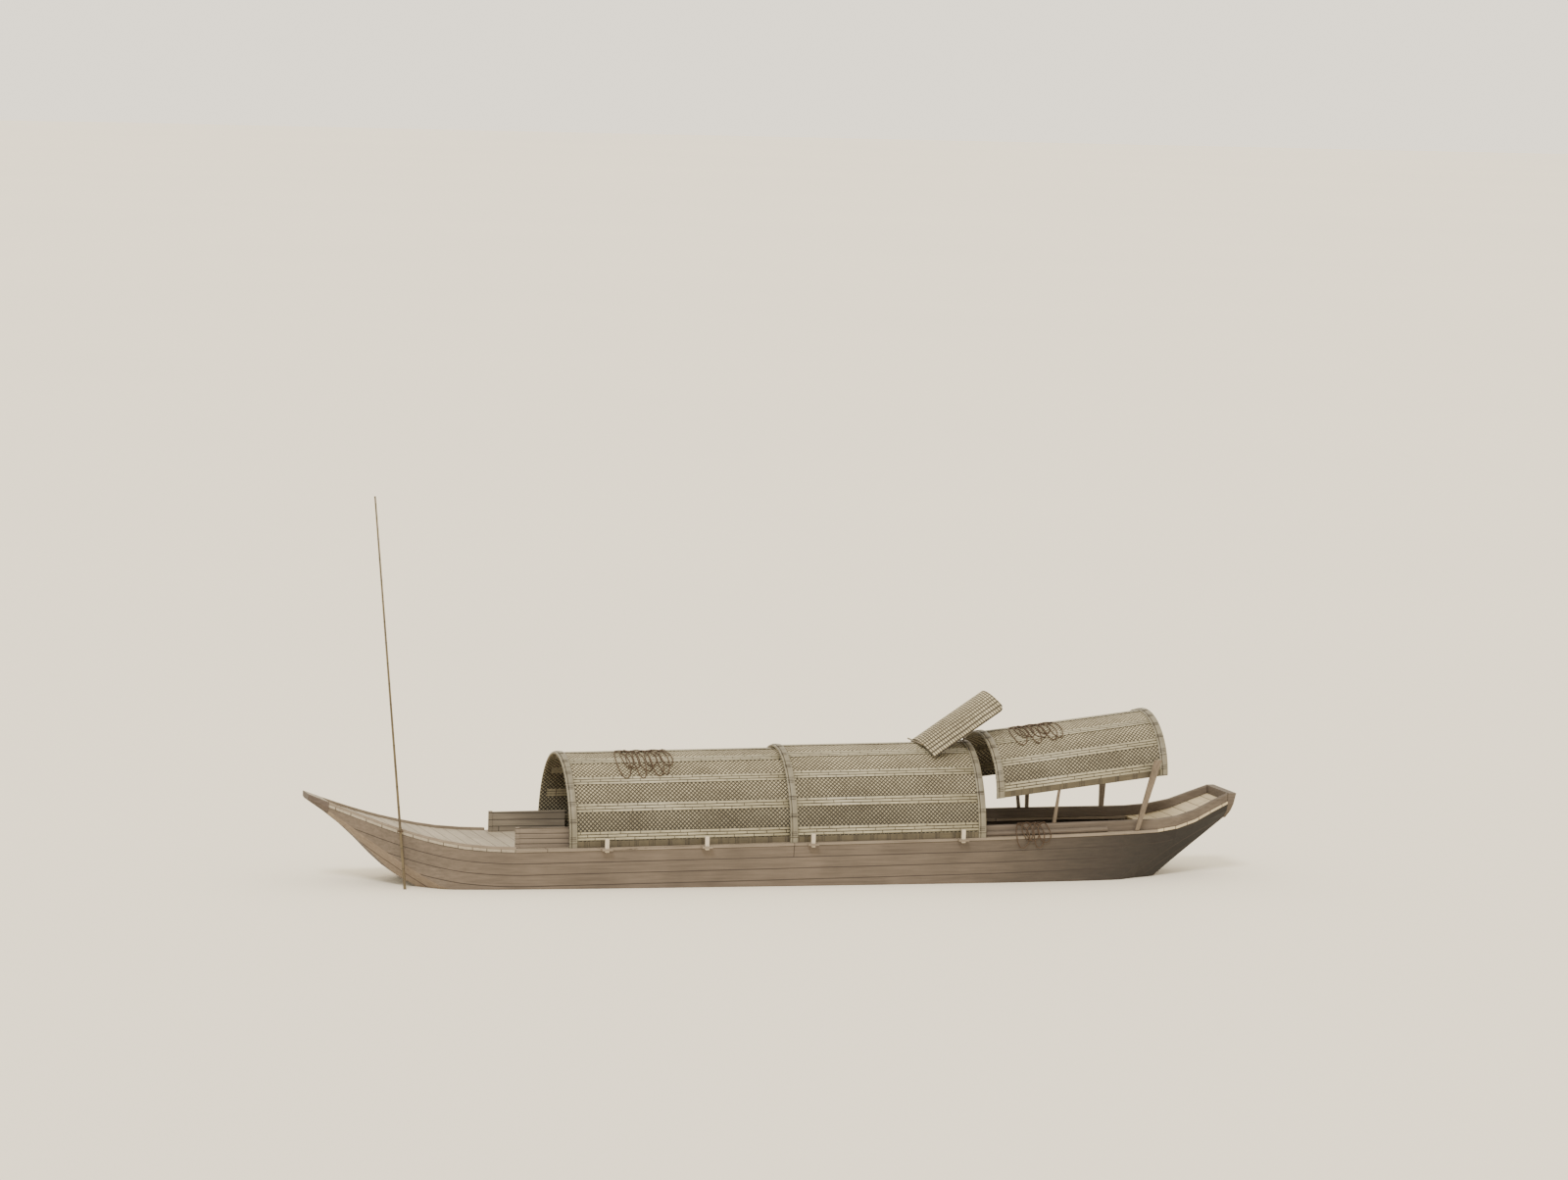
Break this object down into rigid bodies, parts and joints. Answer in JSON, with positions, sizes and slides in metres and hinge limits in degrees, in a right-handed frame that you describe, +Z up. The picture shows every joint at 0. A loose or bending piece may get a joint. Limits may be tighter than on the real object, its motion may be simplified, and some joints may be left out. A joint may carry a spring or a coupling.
{
  "type": "mat-roofed wooden river boat",
  "caption": "Flat-bottomed wooden river boat with raked ends, barrel roofs of woven mat, a propped flap, a punting pole and coiled ropes.",
  "frame": {"origin": "on the flat bottom, in the middle of the boat's box", "axes": "+X to the bow, +Y to port, +Z up"},
  "size_m": [17.93, 3.1064, 7.62],
  "materials": {
    "hull_wood": "weathered oiled planks",
    "deck_wood": "scrubbed planks",
    "dark_wood": "dark weathered wood",
    "ledge_wood": "worn plank",
    "woven_mat": "woven split bamboo and palm leaf",
    "bamboo": "split bamboo",
    "rope": "twisted plant fibre"
  },
  "bodies": {
    "hull": {"aft_bulkhead": "dark_wood", "after_post_port": "dark_wood", "after_post_starboard": "dark_wood", "bilge_planking_port": "hull_wood", "bilge_planking_starboard": "hull_wood", "bottom_planking": "hull_wood", "bow_block": "hull_wood", "cabin_sole": "deck_wood", "canopy_frame": "bamboo", "canopy_mat": "woven_mat", "canopy_rope": "rope", "cockpit_sole": "deck_wood", "fore_bulkhead": "dark_wood", "fore_rail_port": "hull_wood", "fore_rail_starboard": "hull_wood", "foredeck": "deck_wood", "front_roof_frame": "bamboo", "front_roof_mat": "woven_mat", "front_roof_rope": "rope", "ledge_port": "ledge_wood", "ledge_starboard": "ledge_wood", "mid_bulkhead": "dark_wood", "mid_post_port": "dark_wood", "mid_post_starboard": "dark_wood", "peg_port_1": "dark_wood", "peg_port_2": "dark_wood", "peg_port_3": "dark_wood", "peg_port_4": "dark_wood", "peg_starboard_1": "dark_wood", "peg_starboard_2": "dark_wood", "peg_starboard_3": "dark_wood", "peg_starboard_4": "dark_wood", "pole_grommet": "rope", "quarter_rail_port": "dark_wood", "quarter_rail_starboard": "dark_wood", "quarter_rope": "rope", "side_planking_port": "hull_wood", "side_planking_starboard": "hull_wood", "side_spar": "dark_wood", "stern_deck": "deck_wood", "stub_post_aft": "dark_wood", "stub_post_mid": "dark_wood", "transom": "dark_wood", "washboard_port": "hull_wood", "washboard_starboard": "dark_wood"},
    "sliding_roof": {"middle_roof_mat": "woven_mat", "middle_roof_frame": "bamboo", "flap_hinge_bar": "bamboo", "flap_prop": "bamboo"},
    "flap": {"flap_mat": "woven_mat"},
    "pole": {"pole": "bamboo"}
  },
  "joints": [
    {"name": "roof_slide", "type": "slide", "parent": "hull", "child": "sliding_roof", "axis": [0.9999, 0, -0.014], "range_m": [0, 1.9]},
    {"name": "flap_hinge", "type": "hinge", "parent": "sliding_roof", "child": "flap", "pos_m": [-2.715, 0, 2.9343], "axis": [0, 1, 0], "range_deg": [0, 105]},
    {"name": "pole_lift", "type": "slide", "parent": "hull", "child": "pole", "axis": [0.097, 0, 0.9953], "range_m": [0, 1.5]}
  ]
}
